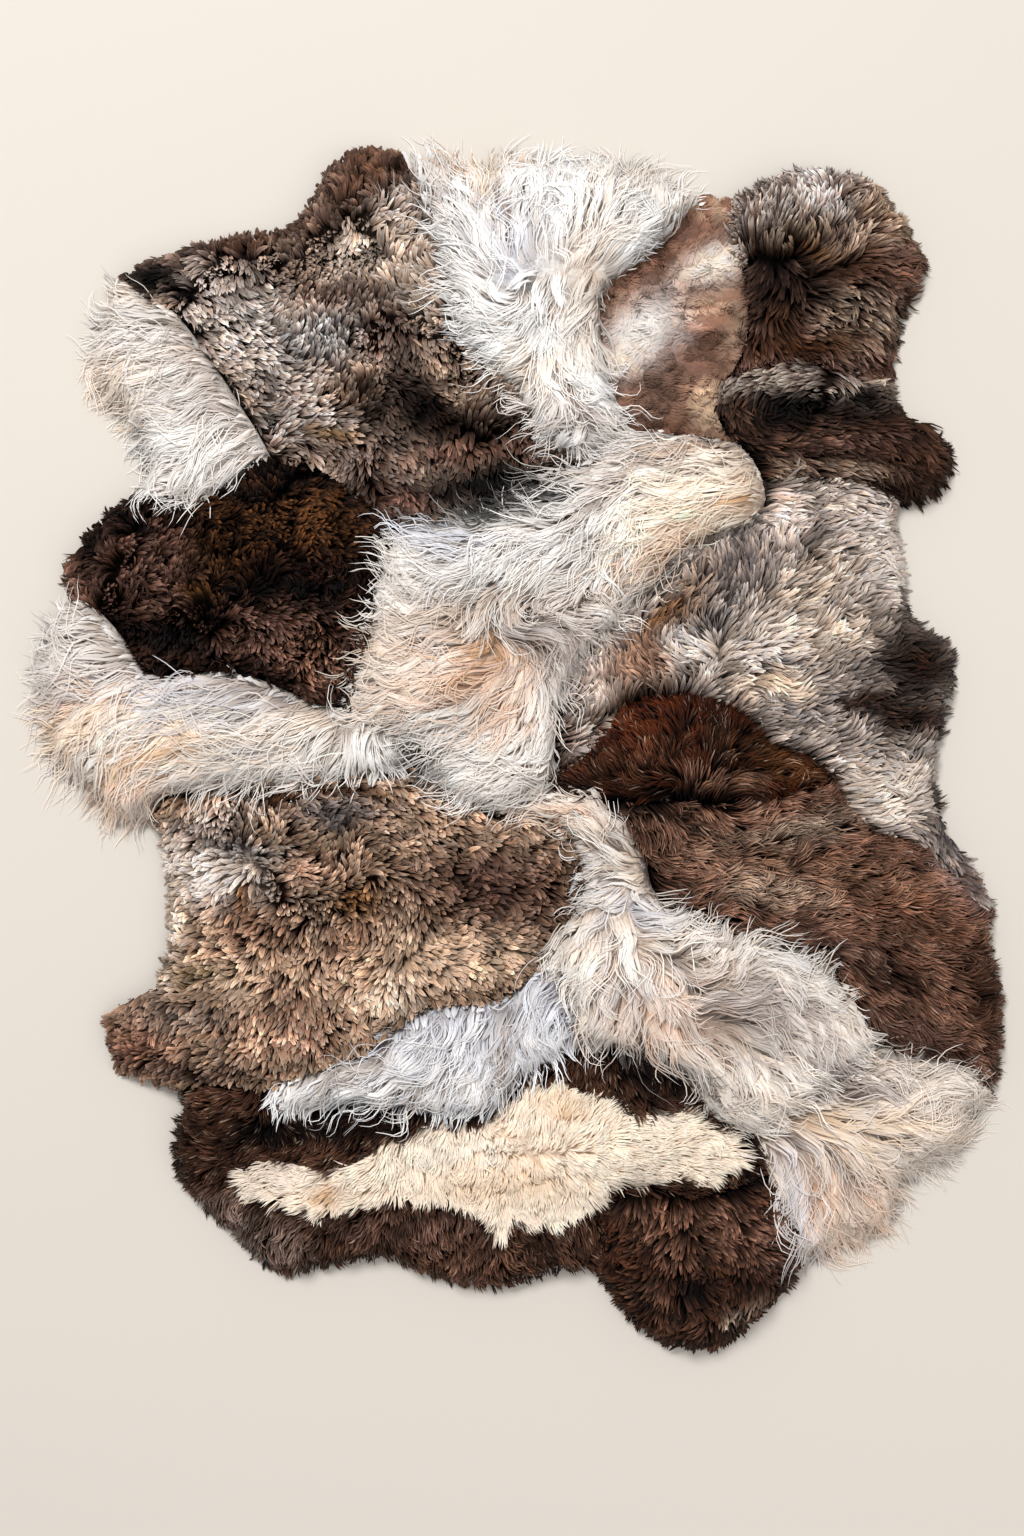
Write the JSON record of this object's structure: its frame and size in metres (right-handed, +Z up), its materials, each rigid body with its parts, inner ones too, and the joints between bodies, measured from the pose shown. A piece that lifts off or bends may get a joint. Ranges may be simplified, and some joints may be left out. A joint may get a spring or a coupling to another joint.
{
  "type": "sheepskin rug",
  "caption": "Patchwork sheepskin rug: skins of short brown and long white wool sewn edge to edge into a free-form flat mat with locks of wool round its rim.",
  "frame": {"origin": "middle of the rug's bounding box, on the floor", "axes": "+Z up from the floor, +Y along the rug's length towards the pale skin between the two grey ones, +X to the right seen from above"},
  "size_m": [0.978, 1.2144, 0.0569],
  "materials": {
    "white_wool": "long loose wool",
    "grey_wool": "short dense wool",
    "silver_wool": "short dense wool",
    "mocha_wool": "clipped wool",
    "fawn_wool": "short tufted wool",
    "dark_wool": "short dense wool"
  },
  "bodies": {
    "root": {"grey_hide": "grey_wool", "cape_fleece": "white_wool", "crown_fleece": "white_wool", "mocha_hide": "mocha_wool", "badger_hide": "grey_wool", "umber_hide": "dark_wool", "silver_hide": "silver_wool", "centre_fleece": "white_wool", "bear_hide": "dark_wool", "train_fleece": "white_wool", "fawn_hide": "fawn_wool", "russet_hide": "dark_wool", "chestnut_hide": "dark_wool", "mane_fleece": "white_wool", "mist_fleece": "white_wool", "plume_fleece": "white_wool", "sable_hide": "dark_wool", "paw_hide": "dark_wool"}
  },
  "joints": []
}
